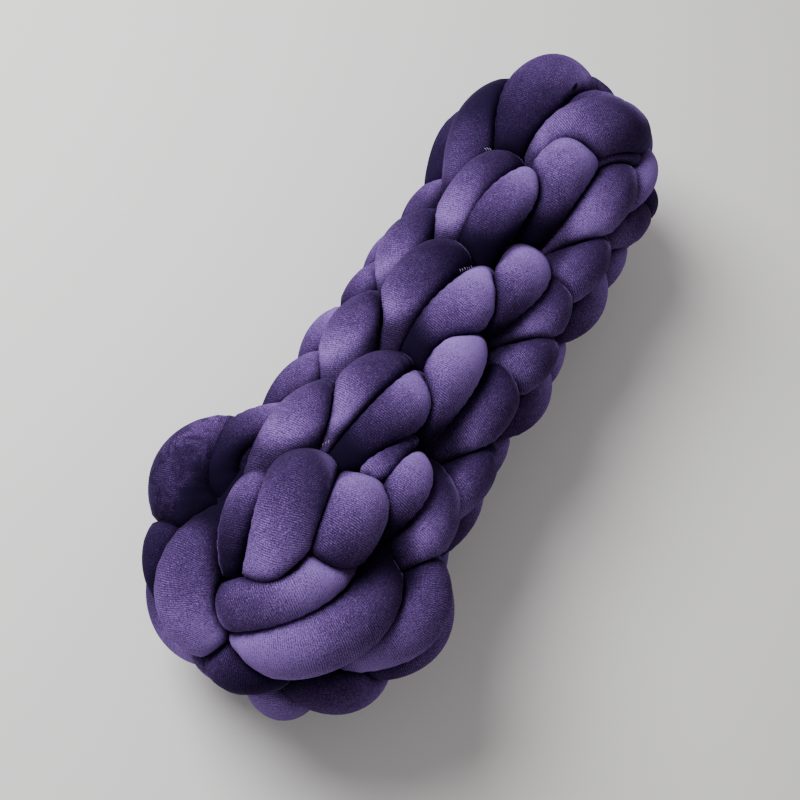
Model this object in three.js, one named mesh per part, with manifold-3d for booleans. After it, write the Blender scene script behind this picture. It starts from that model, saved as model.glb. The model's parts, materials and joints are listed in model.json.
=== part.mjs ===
// A knotted bolster pillow: stuffed velvet tubes plaited in a round crown braid, with a fat knob at
// each end. It lies on its two knobs, with its length along X and the braid's front upwards.
// Millimetres and degrees, +Z up, the origin under the middle of the pillow on the surface it lies on.

import * as THREE from 'three';
import { mergeVertices } from 'three/addons/utils/BufferGeometryUtils.js';
import Module from 'manifold-3d';

// Envelope: the radius that the folds' crests reach at each station along the bolster's axis
const SHAFT_RADIUS = 88.5;
const FOOT_KNOB_RADIUS = 118;
const HEAD_KNOB_RADIUS = 97;
const FOOT_KNOB_STATION = -186;
const HEAD_KNOB_STATION = 224;
const KNOB_SPREAD = 62;
const FOOT_POLE = -297;
const HEAD_POLE = 310;
const FOOT_SQUARENESS = 11;
const HEAD_SQUARENESS = 9;
const ENVELOPE_MIDDLE = (FOOT_POLE + HEAD_POLE) / 2;
const ENVELOPE_HALF = (HEAD_POLE - FOOT_POLE) / 2;
const ENVELOPE_STEPS = 600;

// How the pillow lies: the height of its axis over each knob, and the axis point above the origin
const FOOT_AXIS_HEIGHT = 107;
const HEAD_AXIS_HEIGHT = 89.5;
const MIDDLE_STATION = -2.3;
const MIDDLE_SIDE = -0.9;

// Plait: pairs of folds stand a quarter turn apart in each tier
const COLUMNS = 4;
const FOLD_SWEEP = 85;
const FOLD_STEPS = 9;
const FOLD_SIDES = 8;
const LEAST_GIRTH = 14;
const LEG_FLARE = 0.35;
const CORE_DEPTH = 20;
const CORE_ROWS = 22;
const CORE_SIDES = 16;

// along: distance on the envelope from its middle to the crest; turn: angle of column 0 from the top;
// lean: angle that a fold covers round the axis; reach: half its length; tube: its radius;
// apart: half the distance between a pair's centre lines (0 for one tube); dive: how deep its ends go;
// lift: how far its crest stands over the envelope; tilt: how far its head end stands over its foot end;
// over: how far the second tube of a pair stands over the first
const TIERS = table(
  ['tier', 'along', 'turn', 'lean', 'reach', 'tube', 'apart', 'dive', 'lift', 'tilt', 'over'],
  [
    [6, 304, -37, 110, 8, 23, 0, 44, -14, 0, 0],
    [5, 228, 11, 60, 30, 22, 20, 44, -9, 0, -2],
    [4, 213, -26, 10, 44, 24, 22, 44, 0, 2, 0],
    [3, 158, 22, 2, 43, 22, 21, 44, 0, 8, -2],
    [2, 109, -25, 10, 40, 22, 20, 44, 0, 8, 2],
    [1, 54, 30, 2, 38, 22, 19, 44, 0, 8, -2],
    [0, 15, -20, 12, 38, 22, 21, 44, 0, 8, 2],
    [-1, -38, 32, 0, 38, 22, 21, 44, 0, 8, -2],
    [-2, -84, -8, 12, 38, 22, 19, 44, 0, 8, 2],
    [-3, -129, 36, 0, 38, 22, 21, 44, 0, 8, -2],
    [-4, -190, -2, -12, 48, 25, 24, 50, 0, 5, 0],
    [-5, -258, 29, 52, 48, 25, 24, 50, 0, 3, 0],
    [-6, -356, 22, 80, 20, 23, 0, 36, -6, 0, 0],
  ],
);

// Folds that sit unevenly: shift and twist move one within its tier, bow bends it sideways, and the
// other values replace the tier's own
const UNEVEN = [
  { tier: 4, column: 0, side: -1, shift: 12, twist: 4, reach: 54, tube: 29, lift: 7 },
  { tier: 4, column: 0, side: 1, shift: 8, twist: 18, lean: 42, reach: 40, tube: 26, lift: 7, bow: -12 },
  { tier: 4, column: 1, lift: -9 },
  { tier: 3, column: 0, side: -1, twist: -4, lean: -6, reach: 46, tube: 23 },
  { tier: 3, column: 0, side: 1, shift: 4, twist: -5, reach: 48 },
  { tier: 3, column: 1, twist: 6, lift: -6 },
  { tier: 3, column: 3, shift: 22, twist: -16, reach: 58, tube: 24, lift: 8 },
  { tier: 2, column: 0, side: -1, shift: -3, reach: 46 },
  { tier: 2, column: 0, side: 1, twist: -8, tube: 19 },
  { tier: 2, column: 3, lift: -3 },
  { tier: 1, column: 0, side: -1, shift: -8, lean: 10, tube: 20 },
  { tier: 1, column: 3, twist: -25 },
  { tier: 0, column: 0, side: -1, shift: -4, reach: 44 },
  { tier: 0, column: 0, side: 1, shift: -2, tube: 21 },
  { tier: 0, column: 1, lift: 3 },
  { tier: 0, column: 3, lift: -4 },
  { tier: -1, column: 0, side: -1, shift: -4, twist: -1, lean: -4, reach: 42, tube: 20 },
  { tier: -1, column: 0, side: 1, shift: 5, reach: 44 },
  { tier: -1, column: 3, twist: -18 },
  { tier: -2, column: 0, side: -1, shift: -8 },
  { tier: -2, column: 0, side: 1, shift: -3, twist: -9, tube: 20 },
  { tier: -2, column: 1, lift: 3 },
  { tier: -2, column: 3, lift: -6 },
  { tier: -3, column: 0, side: -1, twist: 2, reach: 32, tube: 17, lift: -2 },
  { tier: -3, column: 0, side: 1, twist: -4, lean: 10, reach: 40, lift: 1 },
  { tier: -3, column: 3, side: -1, shift: -18, reach: 52, lift: -8, tilt: -2 },
  { tier: -3, column: 3, side: 1, shift: 6 },
  { tier: -4, column: 0, side: -1, shift: -11, twist: 4, lean: -14, reach: 66, tube: 23, lift: 6, tilt: -5 },
  { tier: -4, column: 0, side: 1, twist: -4, lean: -4, reach: 52, tube: 23 },
  { tier: -4, column: 1, shift: -6, twist: -20, lean: -17, reach: 66, tube: 27, apart: 16, lift: 2, tilt: 0,
    bow: 8 },
  { tier: -4, column: 2, twist: 2 },
  { tier: -4, column: 3, side: -1, reach: 54, tube: 27, lift: -6 },
  { tier: -4, column: 3, side: 1, shift: 2, twist: 6, lean: 10, reach: 66, tube: 34, apart: 10, lift: 1 },
  { tier: -5, column: 0, side: -1, shift: -14, twist: -15, lean: 46, reach: 50, lift: -1, bow: 12 },
  { tier: -5, column: 0, side: 1, shift: 1, twist: -28, lean: 42, reach: 70, tube: 26, lift: 3, bow: 36 },
  { tier: -5, column: 1, shift: -12, twist: -2, tube: 27, lift: 4 },
  { tier: -5, column: 2, shift: -14, lift: 2 },
  { tier: -5, column: 3, side: -1, shift: -18, lean: -10, lift: -4 },
  { tier: -5, column: 3, side: 1, shift: -45, twist: -14, lean: -8, reach: 58, tube: 28, lift: 4, bow: -12 },
  { tier: -6, column: 0, shift: 10, tube: 26, lift: 0 },
];

// One more fold shows between the foot knob's front and left pairs
const EXTRA_FOLD = {
  along: -232, turn: -26, lean: -10, reach: 42, tube: 20, offset: 0, dive: 44, lift: -4, tilt: 0, bow: 0,
};

// Vertices nearer than this are one vertex
const MERGE_DISTANCE = 0.001;

const VELVET = { color: 0x5a4a78, roughness: 0.9, metalness: 0 };

const wasm = await Module();
wasm.setup();

function table(columns, rows) {
  return rows.map((row) => Object.fromEntries(columns.map((name, i) => [name, row[i]])));
}

function radians(angle) {
  return THREE.MathUtils.degToRad(angle);
}

// The envelope's radius at a station
function envelopeRadius(station) {
  const bump = (centre) => Math.exp(-(((station - centre) / KNOB_SPREAD) ** 2));
  const swelling =
    (FOOT_KNOB_RADIUS - SHAFT_RADIUS) * bump(FOOT_KNOB_STATION) +
    (HEAD_KNOB_RADIUS - SHAFT_RADIUS) * bump(HEAD_KNOB_STATION);
  const squareness = station < ENVELOPE_MIDDLE ? FOOT_SQUARENESS : HEAD_SQUARENESS;
  const towardsPole = Math.min(1, Math.abs((station - ENVELOPE_MIDDLE) / ENVELOPE_HALF));
  return (SHAFT_RADIUS + swelling) * Math.sqrt(1 - towardsPole ** squareness);
}

// Points on the envelope from pole to pole, closer together at the poles, each with its distance along it
function envelopePoints() {
  const points = [];
  let along = 0;
  for (let i = 0; i <= ENVELOPE_STEPS; i += 1) {
    const station = ENVELOPE_MIDDLE + ENVELOPE_HALF * Math.sin(Math.PI * (i / ENVELOPE_STEPS - 0.5));
    const radius = envelopeRadius(station);
    const last = points.at(-1);
    if (last) along += Math.hypot(station - last.station, radius - last.radius);
    points.push({ station, radius, along });
  }
  const nearMiddle = points.find((point) => point.station >= 0);
  const start = nearMiddle.along - nearMiddle.station;
  return points.map((point) => ({ ...point, along: point.along - start }));
}

const ENVELOPE = envelopePoints();

// The station and radius at a distance along the envelope, moved in from it by a depth
function onEnvelope(along, depth) {
  const last = ENVELOPE.length - 1;
  const found = ENVELOPE.findIndex((point) => point.along > along);
  const next = found < 0 ? last : Math.max(1, found);
  const a = ENVELOPE[next - 1];
  const b = ENVELOPE[next];
  const length = b.along - a.along;
  const part = THREE.MathUtils.clamp((along - a.along) / length, 0, 1);
  const rise = (b.radius - a.radius) / length;
  const run = (b.station - a.station) / length;
  return {
    station: THREE.MathUtils.lerp(a.station, b.station, part) + depth * rise,
    radius: THREE.MathUtils.lerp(a.radius, b.radius, part) - depth * run,
  };
}

// A point on the level bolster, at an angle from the top round its axis
function roundAxis(station, radius, angle) {
  return new THREE.Vector3(station, -radius * Math.sin(angle), radius * Math.cos(angle));
}

// The centre line of a fold: it comes up from inside, its foot end the longer one, crests on the
// envelope and goes back in
function foldPath(fold) {
  const crest = onEnvelope(fold.along, fold.tube);
  const girth = Math.max(crest.radius, LEAST_GIRTH);
  const halfLean = radians(fold.lean) / 2;
  const heading = Math.atan2(halfLean * girth, fold.reach);
  const points = [];
  for (let i = 0; i <= FOLD_STEPS; i += 1) {
    const sweep = radians(FOLD_SWEEP * ((2 * i) / FOLD_STEPS - 1));
    const sideways = fold.offset + fold.bow * (Math.cos(sweep) - 0.5);
    const angle = radians(fold.turn) + halfLean * Math.sin(sweep) + (sideways * Math.cos(heading)) / girth;
    const under = 1 - Math.cos(sweep);
    const reach = fold.reach * (sweep < 0 ? 1 + LEG_FLARE * under : 1);
    const along = fold.along + reach * Math.sin(sweep) - sideways * Math.sin(heading);
    const depth = fold.tube - fold.lift + fold.dive * under - fold.tilt * Math.sin(sweep);
    const { station, radius } = onEnvelope(along, depth);
    points.push(roundAxis(station, radius, angle));
  }
  return new THREE.CatmullRomCurve3(points);
}

// Every fold of the plait, tier by tier
function allFolds() {
  const folds = [EXTRA_FOLD];
  for (const row of TIERS) {
    for (let column = 0; column < COLUMNS; column += 1) {
      const sides = row.apart ? [-1, 1] : [0];
      for (const side of sides) {
        const special = UNEVEN.filter(
          (one) => one.tier === row.tier && one.column === column && (one.side ?? side) === side,
        );
        const fold = Object.assign({ shift: 0, twist: 0, bow: 0 }, row, ...special);
        fold.along += fold.shift;
        fold.turn += fold.twist + (360 / COLUMNS) * column;
        fold.lift += (side * fold.over) / 2;
        fold.offset = side * fold.apart;
        folds.push(fold);
      }
    }
  }
  return folds;
}

function toSolid(geometry) {
  geometry.deleteAttribute('normal');
  geometry.deleteAttribute('uv');
  const merged = mergeVertices(geometry, MERGE_DISTANCE);
  const vertProperties = new Float32Array(merged.attributes.position.array);
  const triVerts = new Uint32Array(merged.index.array);
  return new wasm.Manifold(new wasm.Mesh({ numProp: 3, vertProperties, triVerts }));
}

function toGeometry(solid) {
  const mesh = solid.getMesh();
  const geometry = new THREE.BufferGeometry();
  geometry.setAttribute('position', new THREE.BufferAttribute(mesh.vertProperties, 3));
  geometry.setIndex(new THREE.BufferAttribute(mesh.triVerts, 1));
  geometry.computeVertexNormals();
  return geometry;
}

// One stuffed tube along its fold, its flat-sided section as large as the round one
function foldGeometry(fold) {
  const step = (2 * Math.PI) / FOLD_SIDES;
  const corner = fold.tube * Math.sqrt(step / Math.sin(step));
  const section = new THREE.Shape();
  section.setFromPoints(
    Array.from({ length: FOLD_SIDES }, (_, i) => {
      return new THREE.Vector2(corner * Math.cos(step * i), corner * Math.sin(step * i));
    }),
  );
  return new THREE.ExtrudeGeometry(section, {
    steps: FOLD_STEPS,
    bevelEnabled: false,
    extrudePath: foldPath(fold),
  });
}

// The filled inside of the plait, turned about the bolster's axis
function coreGeometry() {
  const first = ENVELOPE[0].along + CORE_DEPTH;
  const last = ENVELOPE.at(-1).along - CORE_DEPTH;
  const rows = [];
  for (let i = 0; i <= CORE_ROWS; i += 1) {
    const { station, radius } = onEnvelope(THREE.MathUtils.lerp(first, last, i / CORE_ROWS), CORE_DEPTH);
    rows.push(new THREE.Vector2(Math.max(radius, 1), station));
  }
  rows.unshift(new THREE.Vector2(0, rows[0].y));
  rows.push(new THREE.Vector2(0, rows.at(-1).y));
  return new THREE.LatheGeometry(rows, CORE_SIDES).rotateZ(-Math.PI / 2);
}

// The plait joined into one solid, laid on its knobs and pressed flat where it touches the surface
function pillowGeometry() {
  let plait = toSolid(coreGeometry());
  for (const fold of allFolds()) {
    plait = plait.add(toSolid(foldGeometry(fold)));
  }
  const drop = FOOT_AXIS_HEIGHT - HEAD_AXIS_HEIGHT;
  const pitch = Math.atan2(drop, HEAD_KNOB_STATION - FOOT_KNOB_STATION);
  const middleHeight = FOOT_AXIS_HEIGHT + FOOT_KNOB_STATION * Math.tan(pitch);
  const lying = toGeometry(plait)
    .rotateY(pitch)
    .translate(-MIDDLE_STATION, -MIDDLE_SIDE, middleHeight);
  const room = 4 * ENVELOPE_HALF;
  const aboveSurface = new THREE.BoxGeometry(room, room, room).translate(0, 0, room / 2);
  return toGeometry(toSolid(lying).intersect(toSolid(aboveSurface)));
}

const pillow = new THREE.Mesh(pillowGeometry(), new THREE.MeshStandardMaterial(VELVET));
pillow.name = 'knotted_bolster';

const bolster = new THREE.Group();
bolster.add(pillow);

export default bolster;
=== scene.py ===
"""Knotted bolster pillow: stuffed velvet tubes plaited in a round crown braid, lying on its two knobs."""

import json
import math

import bpy
import numpy as np
from mathutils import Matrix, Vector
from mathutils.bvhtree import BVHTree

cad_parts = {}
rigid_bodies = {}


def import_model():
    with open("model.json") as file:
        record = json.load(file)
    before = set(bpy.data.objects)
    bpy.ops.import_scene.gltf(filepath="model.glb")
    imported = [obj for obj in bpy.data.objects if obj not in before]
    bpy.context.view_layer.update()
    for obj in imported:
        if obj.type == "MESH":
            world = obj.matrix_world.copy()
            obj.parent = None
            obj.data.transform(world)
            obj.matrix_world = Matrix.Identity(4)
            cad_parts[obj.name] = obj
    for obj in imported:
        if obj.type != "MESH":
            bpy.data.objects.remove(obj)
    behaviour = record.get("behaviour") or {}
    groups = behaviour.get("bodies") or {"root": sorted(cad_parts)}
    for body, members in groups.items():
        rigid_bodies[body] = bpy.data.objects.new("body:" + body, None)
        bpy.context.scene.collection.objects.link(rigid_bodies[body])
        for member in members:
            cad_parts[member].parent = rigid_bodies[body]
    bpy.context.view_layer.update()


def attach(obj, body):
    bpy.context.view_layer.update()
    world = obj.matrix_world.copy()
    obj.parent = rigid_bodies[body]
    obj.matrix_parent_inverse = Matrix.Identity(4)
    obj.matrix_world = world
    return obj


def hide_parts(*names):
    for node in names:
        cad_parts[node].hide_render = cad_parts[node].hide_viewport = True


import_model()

bl_info = {
    "name": "Knotted bolster pillow",
    "version": (1, 0, 0),
    "blender": (4, 5, 0),
    "location": "View3D > Sidebar > Bolster",
    "description": "Builds a plaited velvet bolster from its folds, with its stitches and a plain stage",
    "category": "Object",
}

BODY = "root"
NODE = "knotted_bolster"

# Envelope that the folds' crests reach, in metres, as in the part's source
SHAFT_RADIUS = 0.0885
FOOT_KNOB_RADIUS = 0.118
HEAD_KNOB_RADIUS = 0.097
FOOT_KNOB_STATION = -0.186
HEAD_KNOB_STATION = 0.224
KNOB_SPREAD = 0.062
FOOT_POLE = -0.297
HEAD_POLE = 0.310
FOOT_SQUARENESS = 11
HEAD_SQUARENESS = 9
ENVELOPE_STEPS = 1200

# How the pillow lies: the height of its axis over each knob, and the axis point above the origin
FOOT_AXIS_HEIGHT = 0.107
HEAD_AXIS_HEIGHT = 0.0895
MIDDLE_STATION = -0.0023
MIDDLE_SIDE = -0.0009

# Plait: pairs of folds stand a quarter turn apart in each tier. A fold's centre line sweeps through this
# many degrees on either side of its crest, and its foot leg flares out by this share
COLUMNS = 4
FOLD_SWEEP = 85
LEAST_GIRTH = 0.014
LEG_FLARE = 0.35

# Unevenness of the filling: two waves with these lengths along a tube, in another phase on each fold
FOLD_PHASE = 1.7
LONG_LUMP = 0.021
LONG_LUMP_PHASE = 1.3
SHORT_LUMP = 0.013
SHORT_LUMP_PHASE = 2.1
SHORT_LUMP_SHARE = 0.6

# Press of the tubes: how many crease rolls away one is felt, how far the angle between two skins can
# change it, and how deep it can go as a share of the tube's radius
FELT_ROLLS = 4
FACING_LIMITS = (0.55, 2.0)
DEEPEST_PRESS = 0.7
TINY = 1e-6

# Puckers stand where the next tube is about this far away
PUCKER_CLEARANCE = 0.004
PUCKER_SPREAD = 0.005
PUCKER_LENGTH = 0.0012
PUCKER_WANDER = 2.0

# Points that would sink into the floor are eased up to lie just over it
FLOOR_EASE = 0.001
FLOOR_CLEARANCE = 0.3

# Painted shade: depths below the crests between which the pile's colour is painted from its own tone to dark,
# and the press that paints it dark too
HOLLOW_START = 0.009
HOLLOW_END = 0.021
DARK_PRESS = 0.006
ENVELOPE_SKIP = 8

# Painted light along the nap: how much lighter one end of a fold is painted than its other end, and how far
# its pattern starts from the last one's
PAINTED_NAP_CHANGE = 0.9
PATTERN_STEP = 0.37

# along: distance on the envelope from its middle to the crest; turn: angle of column 0 from the top;
# lean: angle that a fold covers round the axis; reach: half its length; tube: its radius;
# apart: half the distance between a pair's centre lines (0 for one tube); dive: how deep its ends go;
# lift: how far its crest stands over the envelope; tilt: how far its head end stands over its foot end;
# over: how far the second tube of a pair stands over the first; nap: which way the first is brushed
TIER_COLUMNS = ("tier", "along", "turn", "lean", "reach", "tube", "apart", "dive", "lift", "tilt",
                "over", "nap")
TIERS = (
    (7, 0.350, 8, 80, 0.016, 0.022, 0.000, 0.036, -0.018, 0.000, 0.000, -1),
    (6, 0.304, -37, 110, 0.008, 0.023, 0.000, 0.044, -0.014, 0.000, 0.000, 1),
    (5, 0.228, 11, 60, 0.030, 0.022, 0.020, 0.044, -0.009, 0.000, -0.002, -1),
    (4, 0.213, -26, 10, 0.044, 0.024, 0.022, 0.044, 0.000, 0.002, 0.000, -1),
    (3, 0.158, 22, 2, 0.043, 0.022, 0.021, 0.044, 0.000, 0.008, -0.002, -1),
    (2, 0.109, -25, 10, 0.040, 0.022, 0.020, 0.044, 0.000, 0.008, 0.002, 1),
    (1, 0.054, 30, 2, 0.038, 0.022, 0.019, 0.044, 0.000, 0.008, -0.002, -1),
    (0, 0.015, -20, 12, 0.038, 0.022, 0.021, 0.044, 0.000, 0.008, 0.002, 1),
    (-1, -0.038, 32, 0, 0.038, 0.022, 0.021, 0.044, 0.000, 0.008, -0.002, -1),
    (-2, -0.084, -8, 12, 0.038, 0.022, 0.019, 0.044, 0.000, 0.008, 0.002, 1),
    (-3, -0.129, 36, 0, 0.038, 0.022, 0.021, 0.044, 0.000, 0.008, -0.002, -1),
    (-4, -0.190, -2, -12, 0.048, 0.025, 0.024, 0.050, 0.000, 0.005, 0.000, 1),
    (-5, -0.258, 29, 52, 0.048, 0.025, 0.024, 0.050, 0.000, 0.003, 0.000, -1),
    (-6, -0.356, 22, 80, 0.020, 0.023, 0.000, 0.036, -0.006, 0.000, 0.000, 1),
)

# Folds that sit unevenly: shift and twist move one within its tier, bow bends it sideways, crush is how
# far its pile is flattened in patches, the painted shade makes the whole fold lighter or darker as painted
# light and shade, and the other values replace the tier's own
UNEVEN = (
    dict(tier=4, column=0, side=-1, shift=0.012, twist=4, reach=0.054, tube=0.029, lift=0.007, painted_shade=-0.2),
    dict(tier=4, column=0, side=1, shift=0.008, twist=18, lean=42, reach=0.040, tube=0.026, lift=0.007,
         bow=-0.012, painted_shade=-0.2),
    dict(tier=4, column=1, lift=-0.009),
    dict(tier=4, column=1, side=-1, painted_shade=0.45),
    dict(tier=4, column=1, side=1, painted_shade=-0.35),
    dict(tier=3, column=0, side=-1, twist=-4, lean=-6, reach=0.046, tube=0.023, painted_shade=0.15),
    dict(tier=3, column=0, side=1, shift=0.004, twist=-5, reach=0.048),
    dict(tier=3, column=1, twist=6, lift=-0.006),
    dict(tier=3, column=3, shift=0.022, twist=-16, reach=0.058, tube=0.024, lift=0.008, painted_shade=-0.65),
    dict(tier=2, column=0, side=-1, shift=-0.003, reach=0.046),
    dict(tier=2, column=0, side=1, twist=-8, tube=0.019, painted_shade=-0.1),
    dict(tier=2, column=1, side=-1, painted_shade=-0.2),
    dict(tier=2, column=3, lift=-0.003, painted_shade=-0.3),
    dict(tier=1, column=0, side=-1, shift=-0.008, lean=10, tube=0.020),
    dict(tier=1, column=3, twist=-25),
    dict(tier=0, column=0, side=-1, shift=-0.004, reach=0.044, painted_shade=-0.2),
    dict(tier=0, column=0, side=1, shift=-0.002, tube=0.021, painted_shade=0.1),
    dict(tier=0, column=1, lift=0.003),
    dict(tier=0, column=1, side=-1, painted_shade=-0.2),
    dict(tier=0, column=3, lift=-0.004, painted_shade=-0.3),
    dict(tier=-1, column=0, side=-1, shift=-0.004, twist=-1, lean=-4, reach=0.042, tube=0.020, painted_shade=0.2),
    dict(tier=-1, column=0, side=1, shift=0.005, reach=0.044, painted_shade=-0.2),
    dict(tier=-1, column=3, twist=-18),
    dict(tier=-2, column=0, side=-1, shift=-0.008, painted_shade=0.1),
    dict(tier=-2, column=0, side=1, shift=-0.003, twist=-9, tube=0.020, painted_shade=-0.2),
    dict(tier=-2, column=1, lift=0.003),
    dict(tier=-2, column=1, side=-1, painted_shade=-0.2),
    dict(tier=-2, column=3, lift=-0.006, painted_shade=-0.3),
    dict(tier=-3, column=0, side=-1, twist=1, reach=0.030, tube=0.0155, lift=-0.002, painted_shade=0.15),
    dict(tier=-3, column=0, side=1, twist=-4, lean=10, reach=0.040, lift=0.001, painted_shade=-0.15),
    dict(tier=-3, column=3, side=-1, shift=-0.016, reach=0.052, lift=-0.006, tilt=-0.002, painted_shade=-0.3),
    dict(tier=-3, column=3, side=1, shift=0.006),
    dict(tier=-4, column=0, side=-1, shift=-0.011, twist=4, lean=-14, reach=0.066, tube=0.023, lift=0.006,
         tilt=-0.005, painted_shade=-0.2),
    dict(tier=-4, column=0, side=1, twist=-4, lean=-4, reach=0.052, tube=0.023),
    dict(tier=-4, column=1, shift=-0.006, twist=-20, lean=-17, reach=0.066, tube=0.027, apart=0.016,
         lift=0.002, tilt=0.0, bow=0.008),
    dict(tier=-4, column=2, twist=2),
    dict(tier=-4, column=3, side=-1, reach=0.054, tube=0.027, lift=-0.006),
    dict(tier=-4, column=3, side=1, shift=-0.001, twist=6, lean=10, reach=0.066, tube=0.034, lift=0.004,
         apart=0.010, crush=1.0, painted_shade=-0.3),
    dict(tier=-5, column=0, side=-1, shift=-0.014, twist=-15, lean=46, reach=0.050, lift=-0.001, bow=0.012,
         painted_shade=0.15),
    dict(tier=-5, column=0, side=1, shift=0.001, twist=-28, lean=42, reach=0.070, tube=0.026,
         lift=0.003, bow=0.036, painted_shade=0.25),
    dict(tier=-5, column=1, side=1, painted_shade=-0.15),
    dict(tier=-5, column=1, side=-1, painted_shade=0.1),
    dict(tier=-5, column=1, shift=-0.012, twist=-2, tube=0.027, lift=0.004),
    dict(tier=-5, column=2, shift=-0.014, lift=0.002),
    dict(tier=-5, column=3, side=-1, shift=-0.008, lean=-10, lift=-0.001, painted_shade=-0.8),
    dict(tier=-5, column=3, side=1, shift=-0.045, twist=-14, lean=-8, reach=0.058, tube=0.028, lift=0.004,
         bow=-0.012, painted_shade=0.1),
    dict(tier=-6, column=0, shift=0.010, tube=0.026, lift=0.000, painted_shade=-0.45),
)

# What a fold has unless a table says otherwise
PLAIN_FOLD = dict(column=0, shift=0.0, twist=0.0, offset=0.0, tilt=0.0, bow=0.0, crush=0.1, painted_shade=0.0)

# Two more folds show, one between the foot knob's front and left pairs and a narrow one above its front pair
EXTRA_FOLDS = (
    dict(along=-0.232, turn=-26, lean=-10, reach=0.042, tube=0.020, dive=0.044, lift=-0.004, nap=-1,
         painted_shade=-0.45),
    dict(along=-0.116, turn=10, lean=16, reach=0.030, tube=0.008, dive=0.026, lift=-0.008, nap=1,
         painted_shade=-0.25),
)

# Runs of short hand stitches between tubes: distance along the envelope and angle from the top at each end
STITCH_RUNS = (
    dict(start=(0.041, -17), end=(0.053, -14), count=6),
    dict(start=(-0.1285, -22), end=(-0.1265, -20), count=3),
    dict(start=(0.1555, -50), end=(0.1585, -49), count=3),
)
STITCH_LENGTH = 0.0015
STITCH_THICKNESS = 0.00055
STITCH_RISE = 0.0006
STITCH_ARCH = 6
STITCH_POINTS = 7
STITCH_SIDES = 8
STITCH_SEARCH = 0.03
THREAD_COLOUR = (0.30, 0.27, 0.40, 1.0)
THREAD_ROUGHNESS = 0.7

# Inner runs of the tubes, as one body
INNER_ROWS = 120
INNER_SIDES = 96
INNER_LEAST_RADIUS = 0.004
INNER_LEAST_HEIGHT = 0.003
# Low painted tone of the inner runs, which are painted dark as shade
INNER_PAINTED_TONE = 0.2

# A small pinch of the cloth on the top fold of the head knob, dented in and painted with shade that is
# darkest up to a share of its size
PINCH_PLACE = (0.237, -20)
PINCH_DEPTH = 0.010
PINCH_SIZE = (0.006, 0.0020, 0.020)
PINCH_HEART = 0.2

# Noises of the velvet: scale, detail and distortion
NOISES = dict(
    wander=(55.0, 2.0, 0.0),
    grain=(1150.0, 2.0, 0.0),
    speck=(1300.0, 1.0, 0.0),
    worn=(90.0, 2.0, 0.0),
    mottle=(22.0, 4.0, 0.0),
    patch=(60.0, 5.0, 1.2),
)
NOISE_ROUGHNESS = 0.6
GRAIN_STRETCH = (1.7, 1.0, 1.0)
CRUSH_EDGES = (0.46, 0.60)

# How far the ribs wander, how strongly they show by how worn the place is, and what else changes the tone:
# the crease and pinch tones are painted shade
RIB_WANDER = 1.6
RIB_WORN = 0.5
RIB_LEAST = -0.1
TONES = dict(mottle=0.75, grain=1.7, speck=1.3, crushed=-0.28, dent_and_painted_shade=-0.45, pinch=-0.9)
HEIGHTS = dict(rib=0.05, grain=0.55, crushed=-0.8, pinch=-6.0)

# Tones between which the pile is painted from its dark to its middle and from its middle to its lit colour,
# as painted light and shade, and the painted shade in hollows
DEEP_TO_MIDDLE = (-0.30, 0.60)
MIDDLE_TO_BRIGHT = (0.35, 1.20)
HOLLOW_SHADE_SHARE = 0.65
HOLLOW_SHADE_COLOUR = (0.002, 0.001, 0.005, 1.0)
BUMP_STRENGTH = 0.5
BUMP_DISTANCE = 0.0006
VELVET_SHADER = {"Roughness": 0.9, "Specular IOR Level": 0.03, "Sheen Weight": 0.2, "Sheen Roughness": 0.2}

# Floor and light
FLOOR_HALF = 4.0
FLOOR_ROUGHNESS = 0.9
SKY_COLOUR = (1.0, 0.98, 0.97, 1.0)
KEY_SIZE = 0.9
KEY_PLACE = (-0.05, 1.0, 1.25)
KEY_AIM = (0.0, 0.0, 0.1)

# Camera, in metres from the origin, at the angle from which the pillow is seen
CAMERA_PLACE = (-0.4703, 0.0040, 1.0703)
CAMERA_AIM = (-0.0378, 0.0040, 0.1)
CAMERA_ROLL = 34.43
CAMERA_LENS = 63.95
SENSOR_WIDTH = 36.0
CLIP_START = 0.01


class PlaitSizes(bpy.types.PropertyGroup):
    """How finely the tubes are swept and how they press on each other"""

    rows: bpy.props.IntProperty(
        name="Rows", description="Rings along each fold", default=56, min=16)
    sides: bpy.props.IntProperty(
        name="Sides", description="Points round each tube", default=52, min=12)
    fullness: bpy.props.FloatProperty(
        name="Fullness", description="Tube radius against the size it is pressed to", default=1.0, min=0.8)
    crease_gap: bpy.props.FloatProperty(
        name="Crease gap", description="How far neighbouring skins stay apart", default=0.0004,
        subtype="DISTANCE", unit="LENGTH")
    crease_roll: bpy.props.FloatProperty(
        name="Crease roll", description="How softly a skin rolls into a crease", default=0.0018,
        subtype="DISTANCE", unit="LENGTH")
    lump: bpy.props.FloatProperty(
        name="Lump", description="Unevenness of the filling", default=0.0007,
        subtype="DISTANCE", unit="LENGTH")
    pucker: bpy.props.FloatProperty(
        name="Pucker", description="Height of the small puckers beside the creases", default=0.00035,
        subtype="DISTANCE", unit="LENGTH")
    inner_depth: bpy.props.FloatProperty(
        name="Inner depth", description="Depth of the inner runs below the crests", default=0.036,
        subtype="DISTANCE", unit="LENGTH")


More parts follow.
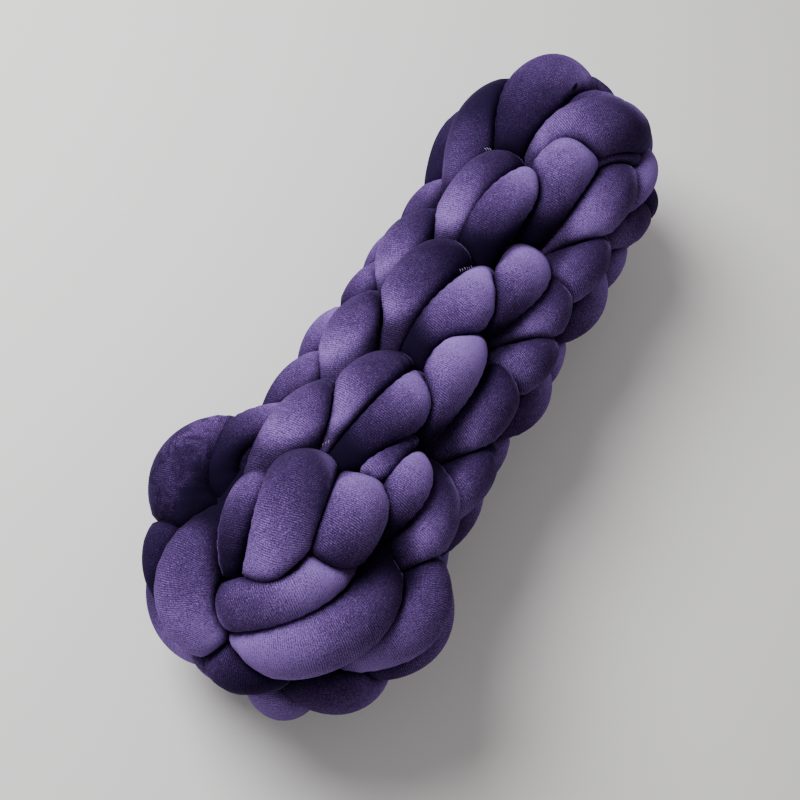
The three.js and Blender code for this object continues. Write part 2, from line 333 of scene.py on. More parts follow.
class VelvetFinish(bpy.types.PropertyGroup):
    """Colours and pile of the velvet: the three pile colours are lit and shaded copies of one velvet, picked
    by painted light and shade
    """

    # Painted shade, middle and painted light: lit and shaded copies of one purple velvet
    painted_dark_pile: bpy.props.FloatVectorProperty(
        name="Deep pile", description="Pile brushed away from the light", subtype="COLOR", size=4,
        default=(0.0125, 0.0068, 0.0300, 1.0), min=0.0, max=1.0)
    middle: bpy.props.FloatVectorProperty(
        name="Middle pile", description="Pile seen from the side", subtype="COLOR", size=4,
        default=(0.066, 0.034, 0.126, 1.0), min=0.0, max=1.0)
    bright: bpy.props.FloatVectorProperty(
        name="Bright pile", description="Pile brushed towards the light", subtype="COLOR", size=4,
        default=(0.255, 0.148, 0.475, 1.0), min=0.0, max=1.0)
    sheen: bpy.props.FloatVectorProperty(
        name="Sheen", description="Colour of the pile's tips", subtype="COLOR", size=4,
        default=(0.55, 0.33, 1.00, 1.0), min=0.0, max=1.0)
    rib_pitch: bpy.props.FloatProperty(
        name="Rib pitch", description="Distance between the knit ribs", default=0.0016,
        subtype="DISTANCE", unit="LENGTH")
    nap_tilt: bpy.props.FloatProperty(
        name="Nap tilt", description="How far the pile leans along the tube", default=0.25, min=0.0, max=1.0)


class StageSettings(bpy.types.PropertyGroup):
    """Plain floor and soft light"""

    floor: bpy.props.FloatVectorProperty(
        name="Floor", description="Pale floor", subtype="COLOR", size=4,
        default=(0.90, 0.885, 0.87, 1.0), min=0.0, max=1.0)
    key_power: bpy.props.FloatProperty(
        name="Key light", description="Power of the large soft light", default=36.0, subtype="POWER")
    sky_strength: bpy.props.FloatProperty(
        name="Sky", description="Strength of the even light all round", default=0.34, min=0.0)


def envelope_radius(station):
    """Radius of the envelope at each station."""
    def bump(centre):
        return np.exp(-(((station - centre) / KNOB_SPREAD) ** 2))

    swelling = (FOOT_KNOB_RADIUS - SHAFT_RADIUS) * bump(FOOT_KNOB_STATION)
    swelling = swelling + (HEAD_KNOB_RADIUS - SHAFT_RADIUS) * bump(HEAD_KNOB_STATION)
    middle = (FOOT_POLE + HEAD_POLE) / 2
    half = (HEAD_POLE - FOOT_POLE) / 2
    squareness = np.where(station < middle, FOOT_SQUARENESS, HEAD_SQUARENESS)
    towards_pole = np.clip(np.abs((station - middle) / half), 0, 1)
    return (SHAFT_RADIUS + swelling) * np.sqrt(1 - towards_pole ** squareness)


def envelope_line():
    """Stations, radii and distances along the envelope from pole to pole, with its slopes."""
    middle = (FOOT_POLE + HEAD_POLE) / 2
    half = (HEAD_POLE - FOOT_POLE) / 2
    station = middle + half * np.sin(np.linspace(-math.pi / 2, math.pi / 2, ENVELOPE_STEPS + 1))
    radius = envelope_radius(station)
    along = np.concatenate([[0.0], np.cumsum(np.hypot(np.diff(station), np.diff(radius)))])
    along = along - np.interp(0.0, station, along)
    return station, radius, along, np.gradient(station, along), np.gradient(radius, along)


ENVELOPE = envelope_line()


def on_envelope(along, depth):
    """Station and radius at a distance along the envelope, moved in from it by a depth."""
    station, radius, distance, run, rise = ENVELOPE
    run_here = np.interp(along, distance, run)
    rise_here = np.interp(along, distance, rise)
    length = np.hypot(run_here, rise_here)
    return (
        np.interp(along, distance, station) + depth * rise_here / length,
        np.interp(along, distance, radius) - depth * run_here / length,
    )


def lying():
    """The turn and the shift that lay the level bolster down on both its knobs, over the origin."""
    drop = FOOT_AXIS_HEIGHT - HEAD_AXIS_HEIGHT
    pitch = math.atan2(drop, HEAD_KNOB_STATION - FOOT_KNOB_STATION)
    height = FOOT_AXIS_HEIGHT + FOOT_KNOB_STATION * math.tan(pitch)
    return np.array(Matrix.Rotation(pitch, 3, "Y")), np.array([-MIDDLE_STATION, -MIDDLE_SIDE, height])


def lie_down(points):
    """Lays points of the level bolster down."""
    turn, place = lying()
    return points @ turn.T + place


def below_envelope(points):
    """How deep laid-down points lie from the nearest place on the envelope."""
    turn, place = lying()
    level = (points - place) @ turn
    across = np.hypot(level[:, 1], level[:, 2])
    station = ENVELOPE[0][::ENVELOPE_SKIP]
    radius = ENVELOPE[1][::ENVELOPE_SKIP]
    return np.hypot(level[:, :1] - station, across[:, None] - radius).min(axis=1)


def round_axis(station, radius, angle):
    """Points at an angle from the top round the bolster's axis, laid down."""
    station, radius, angle = np.broadcast_arrays(station, radius, angle)
    return lie_down(np.stack([station, -radius * np.sin(angle), radius * np.cos(angle)], axis=-1))


def fold_path(fold, rows):
    """Centre line of a fold: it comes up from inside, crests on the envelope and goes back in."""
    sweep = np.radians(np.linspace(-FOLD_SWEEP, FOLD_SWEEP, rows))
    girth = max(float(on_envelope(fold["along"], fold["tube"])[1]), LEAST_GIRTH)
    half_lean = math.radians(fold["lean"]) / 2
    heading = math.atan2(half_lean * girth, fold["reach"])
    sideways = fold["offset"] + fold["bow"] * (np.cos(sweep) - 0.5)
    angle = math.radians(fold["turn"]) + half_lean * np.sin(sweep) + sideways * math.cos(heading) / girth
    under = 1 - np.cos(sweep)
    reach = fold["reach"] * (1 + LEG_FLARE * np.where(sweep < 0, under, 0))
    along = fold["along"] + reach * np.sin(sweep) - sideways * math.sin(heading)
    depth = fold["tube"] - fold["lift"] + fold["dive"] * under - fold["tilt"] * np.sin(sweep)
    station, radius = on_envelope(along, depth)
    return round_axis(station, radius, angle)


def all_folds(fullness):
    """Every fold of the plait, tier by tier."""
    folds = [dict(PLAIN_FOLD, **fold) for fold in EXTRA_FOLDS]
    for row in TIERS:
        tier = dict(zip(TIER_COLUMNS, row))
        for column in range(COLUMNS):
            for side in (-1, 1) if tier["apart"] else (0,):
                fold = dict(PLAIN_FOLD, **tier)
                fold["column"] = column
                for one in UNEVEN:
                    here = one["tier"] == tier["tier"] and one["column"] == column
                    if here and one.get("side", side) == side:
                        fold.update(one)
                fold["along"] += fold["shift"]
                fold["turn"] += fold["twist"] + 360 / COLUMNS * column
                fold["lift"] += side * fold["over"] / 2
                fold["offset"] = side * fold["apart"]
                fold["nap"] *= -1 if side > 0 else 1
                folds.append(fold)
    for fold in folds:
        fold["tube"] *= fullness
    return folds


def new_group(name, kind, inputs, outputs):
    """A node group with its input and output nodes. Inputs are (name, socket type, default or None)."""
    tree = bpy.data.node_groups.new(name, kind)
    for label, socket, default in inputs:
        made = tree.interface.new_socket(label, in_out="INPUT", socket_type=socket)
        if default is not None:
            made.default_value = default
    for label, socket in outputs:
        tree.interface.new_socket(label, in_out="OUTPUT", socket_type=socket)
    return tree, tree.nodes.new("NodeGroupInput"), tree.nodes.new("NodeGroupOutput")


def add_node(tree, kind, values=None, **options):
    """A node with its options set, and its inputs set or linked by name or number."""
    node = tree.nodes.new(kind)
    for option, value in options.items():
        setattr(node, option, value)
    for socket, value in (values or {}).items():
        if isinstance(value, bpy.types.NodeSocket):
            tree.links.new(value, node.inputs[socket])
        else:
            node.inputs[socket].default_value = value
    return node


def math_node(tree, operation, first, second=0.0, third=0.0):
    """Output of a math node."""
    node = add_node(tree, "ShaderNodeMath", {0: first, 1: second, 2: third}, operation=operation)
    return node.outputs[0]


def mix_colour(tree, factor, first, second):
    """Output of a colour mix."""
    node = add_node(tree, "ShaderNodeMix", {0: factor, 6: first, 7: second}, data_type="RGBA")
    return node.outputs[2]


def smooth_range(tree, value, start, end):
    """Output of a map range that goes gently from 0 to 1 between two values."""
    node = add_node(tree, "ShaderNodeMapRange", {"Value": value, "From Min": start, "From Max": end},
                    interpolation_type="SMOOTHSTEP")
    return node.outputs["Result"]


def sweep_tree():
    """Sweeps a round section along each centre line, as wide as the line's radius says."""
    tree, given, made = new_group(
        "Stuffed tube sweep", "GeometryNodeTree",
        [("Centre lines", "NodeSocketObject", None), ("Sides", "NodeSocketInt", 48),
         ("Fabric", "NodeSocketMaterial", None)],
        [("Tubes", "NodeSocketGeometry")],
    )
    lines = add_node(tree, "GeometryNodeObjectInfo", {"Object": given.outputs["Centre lines"]})
    section = add_node(tree, "GeometryNodeCurvePrimitiveCircle",
                       {"Resolution": given.outputs["Sides"], "Radius": 1.0})
    radius = add_node(tree, "GeometryNodeInputRadius")
    sweep = add_node(tree, "GeometryNodeCurveToMesh",
                     {"Curve": lines.outputs["Geometry"], "Profile Curve": section.outputs["Curve"],
                      "Scale": radius.outputs["Radius"], "Fill Caps": True})
    smooth = add_node(tree, "GeometryNodeSetShadeSmooth", {"Geometry": sweep.outputs["Mesh"]})
    real = add_node(tree, "GeometryNodeRealizeInstances", {"Geometry": smooth.outputs["Geometry"]})
    dressed = add_node(tree, "GeometryNodeSetMaterial",
                       {"Geometry": real.outputs["Geometry"], "Material": given.outputs["Fabric"]})
    tree.links.new(dressed.outputs["Geometry"], made.inputs["Tubes"])
    return tree


def line_object(name, paths, radii):
    """A curve object with one open line for each path."""
    data = bpy.data.curves.new(name, "CURVE")
    data.dimensions = "3D"
    for path, radius in zip(paths, radii):
        spline = data.splines.new("POLY")
        spline.points.add(len(path) - 1)
        spline.points.foreach_set("co", np.hstack([path, np.ones((len(path), 1))]).ravel())
        spline.points.foreach_set("radius", np.full(len(path), radius))
    line = bpy.data.objects.new(name, data)
    bpy.context.scene.collection.objects.link(line)
    return line


def grown_mesh(name, tree, values):
    """The plain mesh that a geometry tree makes, as a new object at the origin."""
    piece = bpy.data.objects.new(name, bpy.data.meshes.new(name))
    bpy.context.scene.collection.objects.link(piece)
    grow = piece.modifiers.new("Grow", "NODES")
    grow.node_group = tree
    sockets = {item.name: item.identifier for item in tree.interface.items_tree if item.in_out == "INPUT"}
    for label, value in values.items():
        grow[sockets[label]] = value
    bpy.context.view_layer.update()
    grown = bpy.data.meshes.new_from_object(piece.evaluated_get(bpy.context.evaluated_depsgraph_get()))
    piece.modifiers.remove(grow)
    piece.data = grown
    grown.name = name
    return piece


def soft_step(x):
    """A softened version of max(x, 0)."""
    return np.logaddexp(0.0, x)


def smooth_step(share):
    """A share from 0 to 1 that leaves 0 and reaches 1 gently."""
    return share * share * (3 - 2 * share)


def neighbour_dent(skin, outward, own, paths, radii, roll, gap):
    """How far each point of a tube's skin is pressed in by the tubes it meets, and its nearest clearance."""
    total = np.zeros(len(skin))
    clearance = np.full(len(skin), 1.0)
    low = skin.min(axis=0)
    high = skin.max(axis=0)
    for other, path in enumerate(paths):
        reach = radii[other] + FELT_ROLLS * roll
        beyond = np.any(path.min(axis=0) - reach > high) or np.any(path.max(axis=0) + reach < low)
        if other == own or beyond:
            continue
        apart = skin[:, None, :] - path[None, :, :]
        nearest = np.argmin(np.einsum("ijk,ijk->ij", apart, apart), axis=1)
        away = apart[np.arange(len(skin)), nearest]
        distance = np.linalg.norm(away, axis=1)
        clear = distance - radii[other]
        facing = 1 - np.einsum("ij,ij->i", outward, away) / np.maximum(distance, TINY)
        dent_and_painted_shade = roll * soft_step((gap - clear) / roll) / np.clip(facing, *FACING_LIMITS)
        total += dent_and_painted_shade ** 3
        clearance = np.minimum(clearance, clear)
    return np.cbrt(total), clearance


def shape_tubes(mesh, folds, order, paths, radii, sizes):
    """Presses the swept tubes of one strand against their neighbours and stores how their pile runs, with
    painted light and shade along each fold's nap and painted shade in its creases and hollows.
    """
    rows, sides = sizes.rows, sizes.sides
    points = np.empty(len(mesh.vertices) * 3)
    mesh.vertices.foreach_get("co", points)
    points = points.reshape(len(order), rows, sides, 3)
    run = np.empty(points.shape[:3])
    nap = np.empty(points.shape)
    weave = np.empty(points.shape)
    brushed = np.empty(points.shape[:3])
    dent_and_painted_shade = np.empty(points.shape[:3])
    crush = np.empty(points.shape[:3])
    around = np.linspace(0, 2 * math.pi, sides, endpoint=False)[None, :]
    for slot, own in enumerate(order):
        fold, path, radius = folds[own], paths[own], radii[own]
        length = np.concatenate([[0.0], np.cumsum(np.linalg.norm(np.diff(path, axis=0), axis=1))])
        length = (length - length[-1] / 2)[:, None]
        tangent = np.gradient(path, axis=0)
        tangent /= np.linalg.norm(tangent, axis=1, keepdims=True)
        outward = (points[slot] - path[:, None, :]) / radius
        step = np.linalg.norm(np.diff(points[slot], axis=0), axis=2).max(axis=1)
        outside = np.concatenate([[0.0], np.cumsum(step)]) - step.sum() / 2
        phase = FOLD_PHASE * own
        lump = np.sin(length / LONG_LUMP + phase) * np.sin(2 * around + LONG_LUMP_PHASE * phase)
        short = np.sin(length / SHORT_LUMP + SHORT_LUMP_PHASE * phase + 3 * around)
        lump = lump + SHORT_LUMP_SHARE * short
        skin = points[slot] + outward * (sizes.lump * lump)[:, :, None]
        pressed, clear = neighbour_dent(
            skin.reshape(-1, 3), outward.reshape(-1, 3), own, paths, radii,
            sizes.crease_roll, sizes.crease_gap)
        pressed = np.minimum(pressed, DEEPEST_PRESS * radius).reshape(rows, sides)
        clear = clear.reshape(rows, sides)
        beside = np.exp(-((clear - PUCKER_CLEARANCE) / PUCKER_SPREAD) ** 2)
        wave = np.sin(length / PUCKER_LENGTH + PUCKER_WANDER * np.sin(around + phase) + phase)
        pucker = sizes.pucker * beside * wave
        points[slot] = skin - outward * (pressed - pucker)[:, :, None]
        sweep = np.linspace(-1, 1, rows)[:, None]
        # Painted light along the nap: one end of the fold is painted lighter, the other darker
        bright = np.clip(0.5 - fold["nap"] * sweep * PAINTED_NAP_CHANGE, 0, 1)
        # Depth below the crests, which paints shade into the hollows
        hollow = below_envelope(points[slot].reshape(-1, 3)).reshape(rows, sides) + min(fold["lift"], 0)
        hollow = np.clip((hollow - HOLLOW_START) / (HOLLOW_END - HOLLOW_START), 0, 1)
        run[slot] = outside[:, None] + PATTERN_STEP * own
        weave[slot] = np.stack(
            np.broadcast_arrays(run[slot], radius * np.cos(around), radius * np.sin(around)), axis=-1)
        nap[slot] = (fold["nap"] * tangent)[:, None, :]
        # The fold's painted light along its nap, plus its own painted light and shade
        brushed[slot] = smooth_step(bright) + fold["painted_shade"]
        # Painted shade in creases and hollows, from the press and the depth below the crests
        dent_and_painted_shade[slot] = np.maximum(np.clip(pressed / DARK_PRESS, 0, 1), smooth_step(hollow))
        crush[slot] = fold["crush"]
    points[..., 2] = np.logaddexp(points[..., 2] / FLOOR_EASE, FLOOR_CLEARANCE) * FLOOR_EASE
    mesh.vertices.foreach_set("co", points.ravel())
    for name, values in (("run", run), ("brushed", brushed), ("dent_and_painted_shade", dent_and_painted_shade), ("crush", crush)):
        mesh.attributes.new(name, "FLOAT", "POINT").data.foreach_set("value", values.ravel())
    for name, values in (("nap", nap), ("weave", weave)):
        mesh.attributes.new(name, "FLOAT_VECTOR", "POINT").data.foreach_set("vector", values.ravel())
    mesh.update()


def velvet_group():
    """Colour and height of a brushed, fine-ribbed velvet pile, with painted light and shade along the nap and
    painted shade in creases, hollows and the pinch.
    """
    tree, given, made = new_group(
        "Velvet pile", "ShaderNodeTree",
        [("Place", "NodeSocketVector", None), ("Weave", "NodeSocketVector", None),
         ("Run", "NodeSocketFloat", None), ("Painted nap light", "NodeSocketFloat", None),
         ("Painted crease shade", "NodeSocketFloat", None), ("Crush", "NodeSocketFloat", None),
         ("Pinch", "NodeSocketFloat", None), ("Rib pitch", "NodeSocketFloat", None),
         ("Painted dark", "NodeSocketColor", None), ("Middle", "NodeSocketColor", None),
         ("Bright", "NodeSocketColor", None)],
        [("Color", "NodeSocketColor"), ("Height", "NodeSocketFloat")],
    )
    place = given.outputs["Place"]
    stretched = add_node(tree, "ShaderNodeVectorMath", {0: given.outputs["Weave"], 1: GRAIN_STRETCH},
                         operation="MULTIPLY")

    def noise(name, where=place):
        scale, detail, distortion = NOISES[name]
        node = add_node(tree, "ShaderNodeTexNoise",
                        {"Vector": where, "Scale": scale, "Detail": detail, "Roughness": NOISE_ROUGHNESS,
                         "Distortion": distortion})
        return node.outputs["Fac"]

    def centred(value, amount):
        return math_node(tree, "MULTIPLY", math_node(tree, "SUBTRACT", value, 0.5), amount)

    turns = math_node(tree, "DIVIDE", given.outputs["Run"], given.outputs["Rib pitch"])
    turns = math_node(tree, "ADD", turns, centred(noise("wander"), RIB_WANDER))
    rib = math_node(tree, "SINE", math_node(tree, "MULTIPLY", turns, 2 * math.pi))
    grain = noise("grain", stretched.outputs["Vector"])
    crushed = smooth_range(tree, noise("patch"), *CRUSH_EDGES)
    crushed = math_node(tree, "MULTIPLY", crushed, given.outputs["Crush"])
    shown = math_node(tree, "MULTIPLY_ADD", noise("worn"), RIB_WORN, RIB_LEAST)

    tone = math_node(tree, "ADD", given.outputs["Painted nap light"], centred(noise("mottle"), TONES["mottle"]))
    tone = math_node(tree, "ADD", tone, centred(grain, TONES["grain"]))
    tone = math_node(tree, "ADD", tone, centred(noise("speck"), TONES["speck"]))
    tone = math_node(tree, "ADD", math_node(tree, "MULTIPLY", rib, shown), tone)
    tone = math_node(tree, "MULTIPLY_ADD", crushed, TONES["crushed"], tone)
    # Painted shade in creases and hollows
    tone = math_node(tree, "MULTIPLY_ADD", given.outputs["Painted crease shade"], TONES["dent_and_painted_shade"], tone)
    # Painted shade in the pinch
    tone = math_node(tree, "MULTIPLY_ADD", given.outputs["Pinch"], TONES["pinch"], tone)

    # Painted light and shade: the tone picks between the dark, middle and lit copies of the pile's colour
    painted_shade = mix_colour(tree, smooth_range(tree, tone, *DEEP_TO_MIDDLE),
                       given.outputs["Painted dark"], given.outputs["Middle"])
    colour = mix_colour(tree, smooth_range(tree, tone, *MIDDLE_TO_BRIGHT), painted_shade, given.outputs["Bright"])
    # Painted shade: creases and hollows are painted towards near black
    painted_hollow_shade = math_node(tree, "MULTIPLY", given.outputs["Painted crease shade"], HOLLOW_SHADE_SHARE)
    colour = mix_colour(tree, painted_hollow_shade, colour, HOLLOW_SHADE_COLOUR)

    height = math_node(tree, "MULTIPLY", rib, HEIGHTS["rib"])
    height = math_node(tree, "MULTIPLY_ADD", grain, HEIGHTS["grain"], height)
    height = math_node(tree, "MULTIPLY_ADD", crushed, HEIGHTS["crushed"], height)
    height = math_node(tree, "MULTIPLY_ADD", given.outputs["Pinch"], HEIGHTS["pinch"], height)
    tree.links.new(colour, made.inputs["Color"])
    tree.links.new(height, made.inputs["Height"])
    return tree


def attribute(tree, name):
    """The node that reads a value stored on the mesh."""
    return add_node(tree, "ShaderNodeAttribute", attribute_type="GEOMETRY", attribute_name=name)


def pinch_mask(tree, place):
    """1 in the middle of the pinch, fading to 0 at its rim."""
    middle = round_axis(*on_envelope(PINCH_PLACE[0], PINCH_DEPTH), math.radians(PINCH_PLACE[1]))
    away = add_node(tree, "ShaderNodeVectorMath", {0: place, 1: middle}, operation="SUBTRACT")
    sized = add_node(tree, "ShaderNodeVectorMath",
                     {0: away.outputs["Vector"], 1: PINCH_SIZE}, operation="DIVIDE")
    distance = add_node(tree, "ShaderNodeVectorMath", {0: sized.outputs["Vector"]}, operation="LENGTH")
    return smooth_range(tree, distance.outputs["Value"], 1.0, PINCH_HEART)


def velvet_material(finish):
    """Knit velvet whose pile is brushed along each tube, with painted light and shade in its colour."""
    material = bpy.data.materials.new("Purple knit velvet")
    material.use_nodes = True
    tree = material.node_tree
    shader = tree.nodes["Principled BSDF"]
    place = add_node(tree, "ShaderNodeTexCoord").outputs["Object"]
    # Painted shade in creases and hollows
    dent_and_painted_shade = attribute(tree, "dent_and_painted_shade").outputs["Fac"]
    pile = add_node(
        tree, "ShaderNodeGroup",
        {"Place": place, "Weave": attribute(tree, "weave").outputs["Vector"],
         "Run": attribute(tree, "run").outputs["Fac"], "Painted nap light": attribute(tree, "brushed").outputs["Fac"],
         "Painted crease shade": dent_and_painted_shade, "Crush": attribute(tree, "crush").outputs["Fac"], "Pinch": pinch_mask(tree, place),
         "Rib pitch": finish.rib_pitch, "Painted dark": finish.painted_dark_pile, "Middle": finish.middle,
         "Bright": finish.bright},
        node_tree=velvet_group(),
    )
    surface = add_node(tree, "ShaderNodeNewGeometry")
    lean = math_node(tree, "MULTIPLY_ADD", dent_and_painted_shade, -finish.nap_tilt, finish.nap_tilt)
    nap = add_node(tree, "ShaderNodeVectorMath",
                   {0: attribute(tree, "nap").outputs["Vector"], "Scale": lean}, operation="SCALE")
    tilted = add_node(tree, "ShaderNodeVectorMath",
                      {0: surface.outputs["Normal"], 1: nap.outputs["Vector"]}, operation="ADD")
    level = add_node(tree, "ShaderNodeVectorMath", {0: tilted.outputs["Vector"]}, operation="NORMALIZE")
    bump = add_node(tree, "ShaderNodeBump",
                    {"Strength": BUMP_STRENGTH, "Distance": BUMP_DISTANCE,
                     "Height": pile.outputs["Height"], "Normal": level.outputs["Vector"]})
    tree.links.new(pile.outputs["Color"], shader.inputs["Base Color"])
    tree.links.new(bump.outputs["Normal"], shader.inputs["Normal"])
    for socket, value in VELVET_SHADER.items():
        shader.inputs[socket].default_value = value
    shader.inputs["Sheen Tint"].default_value = finish.sheen
    return material


def velvet():
    """The pillow's one velvet, made on first use."""
    made = bpy.data.materials.get("Purple knit velvet")
    return made or velvet_material(bpy.context.scene.bolster_velvet)


def declare(piece):
    """Puts a padded piece in the place of the part's solid."""
    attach(piece, BODY)
    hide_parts(NODE)


class BOLSTER_OT_inner_runs(bpy.types.Operator):
    """Make the tubes' inner runs as one body, painted in full hollow shade so that it shows dark in the
    deepest hollows
    """

    bl_idname = "bolster.inner_runs"
    bl_label = "Fill the inside"

    def execute(self, context):
        sizes = context.scene.bolster_sizes
        sides = INNER_SIDES
        distance = ENVELOPE[2]
        along = np.linspace(distance[0], distance[-1], INNER_ROWS + 2)[1:-1]
        station, radius = on_envelope(along, sizes.inner_depth)
        keep = radius > INNER_LEAST_RADIUS
        along, station, radius = along[keep], station[keep], radius[keep]
        angle = np.linspace(0, 2 * math.pi, sides, endpoint=False)
        skin = round_axis(station[:, None], radius[:, None], angle[None, :]).reshape(-1, 3)
        poles = round_axis(station[[0, -1]], np.zeros(2), np.zeros(2))
        points = np.vstack([skin, poles])
        points[:, 2] = np.maximum(points[:, 2], INNER_LEAST_HEIGHT)
        rows = len(along)
        faces = []
        for row in range(rows - 1):
            for side in range(sides):
                after = (side + 1) % sides
                faces.append((row * sides + side, row * sides + after,
                              (row + 1) * sides + after, (row + 1) * sides + side))
        for side in range(sides):
            after = (side + 1) % sides
            faces.append((rows * sides, after, side))
            faces.append((rows * sides + 1, (rows - 1) * sides + side, (rows - 1) * sides + after))
        mesh = bpy.data.meshes.new("inner_runs")
        mesh.from_pydata(points.tolist(), [], faces)
        mesh.materials.append(velvet())
        mesh.shade_smooth()
        run = np.concatenate([np.repeat(along, sides), along[[0, -1]]])
        # The inside is painted dark: a low painted tone and full painted hollow shade
        for name, values in (("run", run), ("brushed", np.full(len(points), INNER_PAINTED_TONE)),
                             ("dent_and_painted_shade", np.ones(len(points))), ("crush", np.zeros(len(points)))):
            mesh.attributes.new(name, "FLOAT", "POINT").data.foreach_set("value", values)
        mesh.attributes.new("nap", "FLOAT_VECTOR", "POINT")
        mesh.update()
        inner = bpy.data.objects.new("inner_runs", mesh)
        context.scene.collection.objects.link(inner)
        declare(inner)
        return {"FINISHED"}


class BOLSTER_OT_tubes(bpy.types.Operator):
    """Sweep the stuffed velvet tubes along their folds and press them together"""

    bl_idname = "bolster.tubes"
    bl_label = "Plait the tubes"

    def execute(self, context):
        sizes = context.scene.bolster_sizes
        folds = all_folds(sizes.fullness)
        paths = [fold_path(fold, sizes.rows) for fold in folds]
        radii = [fold["tube"] for fold in folds]
        tree = sweep_tree()
        for column in range(COLUMNS):
            order = [number for number, fold in enumerate(folds) if fold["column"] == column]
            name = "velvet_strand_%d" % (column + 1)
            lines = line_object(name + "_lines", [paths[n] for n in order], [radii[n] for n in order])
            strand = grown_mesh(name, tree, {"Centre lines": lines, "Sides": sizes.sides, "Fabric": velvet()})
            bpy.data.curves.remove(lines.data)
            if len(strand.data.vertices) != len(order) * sizes.rows * sizes.sides:
                raise RuntimeError("a strand has %d points" % len(strand.data.vertices))
            shape_tubes(strand.data, folds, order, paths, radii, sizes)
            declare(strand)
        bpy.data.node_groups.remove(tree)
        return {"FINISHED"}


def plain_material(name, colour, roughness):
    """A material of one colour."""
    material = bpy.data.materials.new(name)
    material.use_nodes = True
    shader = material.node_tree.nodes["Principled BSDF"]
    shader.inputs["Base Color"].default_value = colour
    shader.inputs["Roughness"].default_value = roughness
    return material


def stitch_paths(trees):
    """Centre lines of the stitches, each laid across its run on the tubes' skin."""
    def on_skin(along, angle):
        outside = Vector(round_axis(*on_envelope(along, -STITCH_SEARCH), angle))
        inside = Vector(round_axis(*on_envelope(along, STITCH_SEARCH), angle))
        hits = [tree.ray_cast(outside, inside - outside) for tree in trees]
        hits = [hit for hit in hits if hit[0] is not None]
        if not hits:
            raise RuntimeError("a stitch misses the tubes")
        place, normal = min(hits, key=lambda hit: hit[3])[:2]
        return place, normal

    paths = []
    for run in STITCH_RUNS:
        start = np.array([run["start"][0], math.radians(run["start"][1])])
        end = np.array([run["end"][0], math.radians(run["end"][1])])
        girth = float(on_envelope(start[0], 0.0)[1])
        heading = math.atan2((end[1] - start[1]) * girth, end[0] - start[0])
        across = np.array([-math.sin(heading), math.cos(heading) / girth])
        for share in np.linspace(0, 1, run["count"]):
            path = []
            for step in np.linspace(-0.5, 0.5, STITCH_POINTS):
                along, angle = start + (end - start) * share + across * step * STITCH_LENGTH
                place, normal = on_skin(along, angle)
                path.append(place + normal * STITCH_RISE * (1 - STITCH_ARCH * step * step))
            paths.append(np.array(path))
    return paths


class BOLSTER_OT_stitches(bpy.types.Operator):
    """Sew the short stitches that hold the tubes to each other"""

    bl_idname = "bolster.stitches"
    bl_label = "Sew the stitches"

    def execute(self, context):
        graph = context.evaluated_depsgraph_get()
        trees = [BVHTree.FromObject(bpy.data.objects["velvet_strand_%d" % (column + 1)], graph)
                 for column in range(COLUMNS)]
        paths = stitch_paths(trees)
        lines = line_object("stitch_lines", paths, [STITCH_THICKNESS / 2] * len(paths))
        tree = sweep_tree()
        thread = plain_material("Pale thread", THREAD_COLOUR, THREAD_ROUGHNESS)
        stitches = grown_mesh("hand_stitches", tree,
                              {"Centre lines": lines, "Sides": STITCH_SIDES, "Fabric": thread})
        bpy.data.curves.remove(lines.data)
        bpy.data.node_groups.remove(tree)
        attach(stitches, BODY)
        return {"FINISHED"}


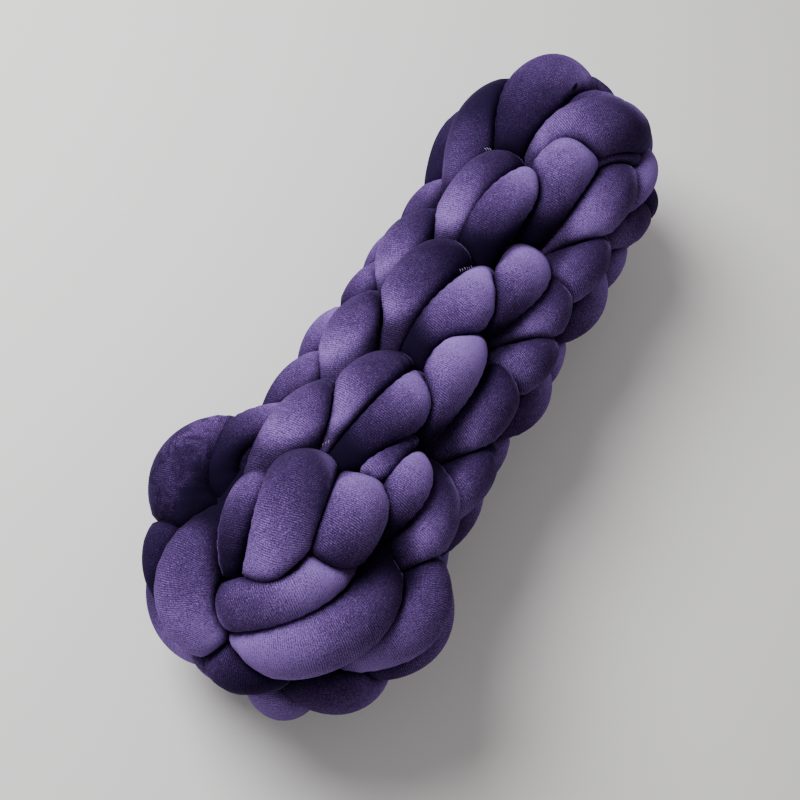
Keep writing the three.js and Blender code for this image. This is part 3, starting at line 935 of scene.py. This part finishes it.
class BOLSTER_OT_stage(bpy.types.Operator):
    """Lay a plain pale floor and set the light and the camera"""

    bl_idname = "bolster.stage"
    bl_label = "Set the stage"

    def execute(self, context):
        settings = context.scene.bolster_stage
        mesh = bpy.data.meshes.new("floor")
        half = FLOOR_HALF
        corners = [(-half, -half, 0), (half, -half, 0), (half, half, 0), (-half, half, 0)]
        mesh.from_pydata(corners, [], [(0, 1, 2, 3)])
        mesh.materials.append(plain_material("Pale floor", settings.floor, FLOOR_ROUGHNESS))
        floor = bpy.data.objects.new("floor", mesh)
        context.scene.collection.objects.link(floor)

        world = bpy.data.worlds.new("Studio")
        world.use_nodes = True
        sky = world.node_tree.nodes["Background"]
        sky.inputs["Color"].default_value = SKY_COLOUR
        sky.inputs["Strength"].default_value = settings.sky_strength
        context.scene.world = world

        key = bpy.data.lights.new("Soft key", "AREA")
        key.shape = "DISK"
        key.size = KEY_SIZE
        key.energy = settings.key_power
        lamp = bpy.data.objects.new("Soft key", key)
        lamp.matrix_world = look_from(KEY_PLACE, KEY_AIM, 0.0)
        context.scene.collection.objects.link(lamp)

        camera = bpy.data.cameras.new("Camera")
        camera.lens = CAMERA_LENS
        camera.sensor_width = SENSOR_WIDTH
        camera.clip_start = CLIP_START
        eye = bpy.data.objects.new("Camera", camera)
        eye.matrix_world = look_from(CAMERA_PLACE, CAMERA_AIM, CAMERA_ROLL)
        context.scene.collection.objects.link(eye)
        context.scene.camera = eye
        return {"FINISHED"}


def look_from(place, aim, roll):
    """Matrix of a camera or lamp that looks from a place at an aim, rolled about its sight line."""
    forward = (Vector(aim) - Vector(place)).normalized()
    level = forward.cross(Vector((0, 0, 1))).normalized()
    above = level.cross(forward)
    turn = math.radians(roll)
    right = level * math.cos(turn) + above * math.sin(turn)
    up = right.cross(forward)
    matrix = Matrix((right, up, -forward)).transposed().to_4x4()
    matrix.translation = place
    return matrix


class BOLSTER_PT_panel(bpy.types.Panel):
    """Sizes, finish and steps of the knotted bolster"""

    bl_idname = "BOLSTER_PT_panel"
    bl_label = "Knotted bolster"
    bl_space_type = "VIEW_3D"
    bl_region_type = "UI"
    bl_category = "Bolster"

    def draw(self, context):
        for group in ("bolster_sizes", "bolster_velvet", "bolster_stage"):
            settings = getattr(context.scene, group)
            box = self.layout.box()
            for name in settings.__annotations__:
                box.prop(settings, name)
        for step in STEPS:
            self.layout.operator(step.bl_idname)


STEPS = (BOLSTER_OT_inner_runs, BOLSTER_OT_tubes, BOLSTER_OT_stitches, BOLSTER_OT_stage)
CLASSES = (PlaitSizes, VelvetFinish, StageSettings) + STEPS + (BOLSTER_PT_panel,)


def register():
    """Registers the classes and the scene's settings."""
    for one in CLASSES:
        bpy.utils.register_class(one)
    bpy.types.Scene.bolster_sizes = bpy.props.PointerProperty(type=PlaitSizes)
    bpy.types.Scene.bolster_velvet = bpy.props.PointerProperty(type=VelvetFinish)
    bpy.types.Scene.bolster_stage = bpy.props.PointerProperty(type=StageSettings)


def unregister():
    """Takes the settings and the classes away again."""
    del bpy.types.Scene.bolster_stage
    del bpy.types.Scene.bolster_velvet
    del bpy.types.Scene.bolster_sizes
    for one in reversed(CLASSES):
        bpy.utils.unregister_class(one)


def main():
    """Builds the pillow and its stage."""
    register()
    bpy.ops.bolster.inner_runs()
    bpy.ops.bolster.tubes()
    bpy.ops.bolster.stitches()
    bpy.ops.bolster.stage()


if __name__ == "__main__":
    main()
